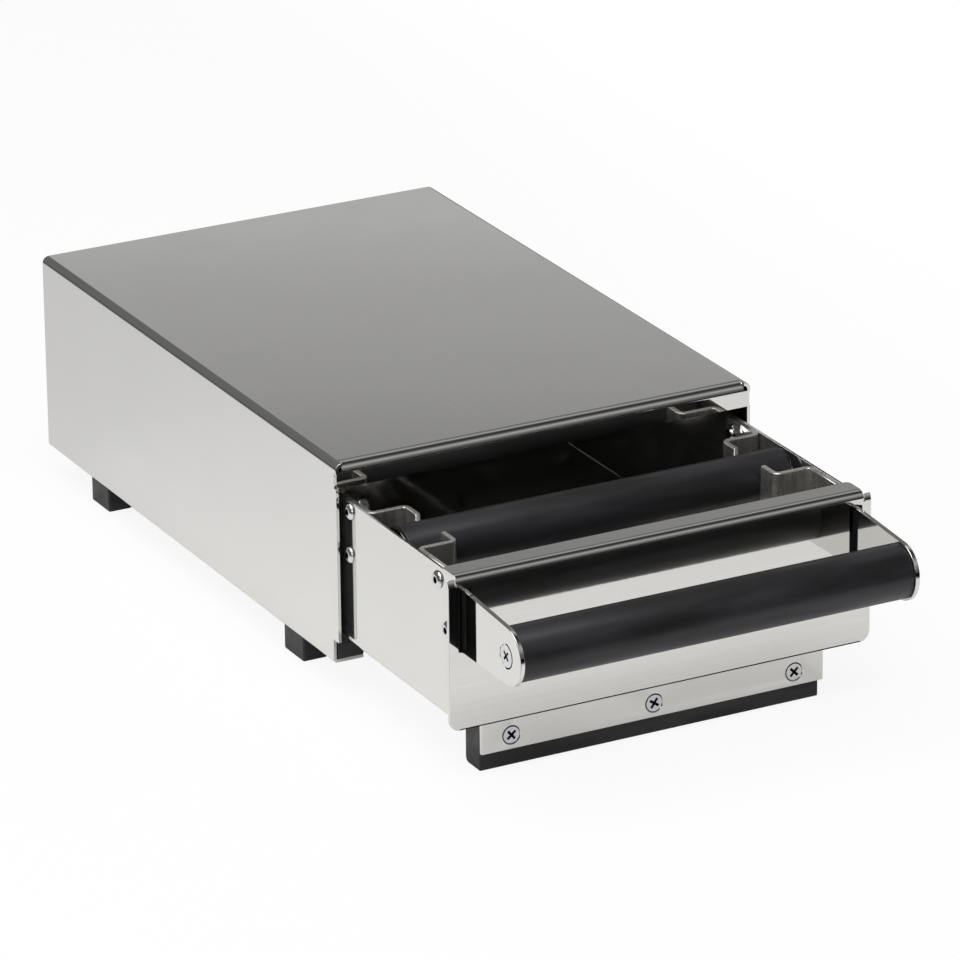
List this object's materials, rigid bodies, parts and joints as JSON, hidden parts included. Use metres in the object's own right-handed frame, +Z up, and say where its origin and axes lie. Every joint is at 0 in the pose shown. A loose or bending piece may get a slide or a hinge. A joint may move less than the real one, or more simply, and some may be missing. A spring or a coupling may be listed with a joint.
{
  "type": "knock box drawer",
  "caption": "Low steel casing on rubber feet with a sliding knock drawer: round rubber grip, lift-out knock bar in four brackets, rubber bumper block below the front.",
  "frame": {"origin": "centre of the bounding box on the table, with the drawer as pictured", "axes": "+Z up, -Y towards the user in front of the drawer, +X to the user's right"},
  "size_m": [0.25, 0.5605, 0.132],
  "materials": {
    "sheet_steel": "polished",
    "bright_steel": "bright",
    "rubber": "matt",
    "plastic": "matt"
  },
  "bodies": {
    "casing": {"casing_shell": "sheet_steel", "rear_panel": "sheet_steel", "rear_panel_screws": "bright_steel", "rear_panel_nuts": "bright_steel", "left_slide_strip": "plastic", "right_slide_strip": "plastic", "front_left_foot": "rubber", "front_right_foot": "rubber", "rear_left_foot": "rubber", "rear_right_foot": "rubber", "foot_screws": "bright_steel"},
    "drawer": {"drawer_tray": "sheet_steel", "front_panel": "sheet_steel", "front_panel_studs": "bright_steel", "front_panel_nuts": "bright_steel", "left_handle_plate": "sheet_steel", "right_handle_plate": "sheet_steel", "grip_rod": "sheet_steel", "grip_sleeve": "rubber", "grip_screws": "bright_steel", "front_left_bracket": "bright_steel", "front_right_bracket": "bright_steel", "rear_left_bracket": "bright_steel", "rear_right_bracket": "bright_steel", "bracket_screws": "bright_steel", "bracket_nuts": "bright_steel", "apron_strip": "sheet_steel", "apron_block": "rubber", "apron_screws": "bright_steel", "apron_nuts": "bright_steel"},
    "knock_bar": {"knock_bar_sleeve": "rubber", "knock_bar_core": "sheet_steel", "left_bar_end_cap": "bright_steel", "right_bar_end_cap": "bright_steel"}
  },
  "joints": [
    {"name": "drawer_slide", "type": "slide", "parent": "casing", "child": "drawer", "axis": [0, -1, 0], "range_m": [-0.123, 0.1035]},
    {"name": "bar_lift", "type": "slide", "parent": "drawer", "child": "knock_bar", "axis": [0, 0, 1], "range_m": [0, 0.06]}
  ]
}
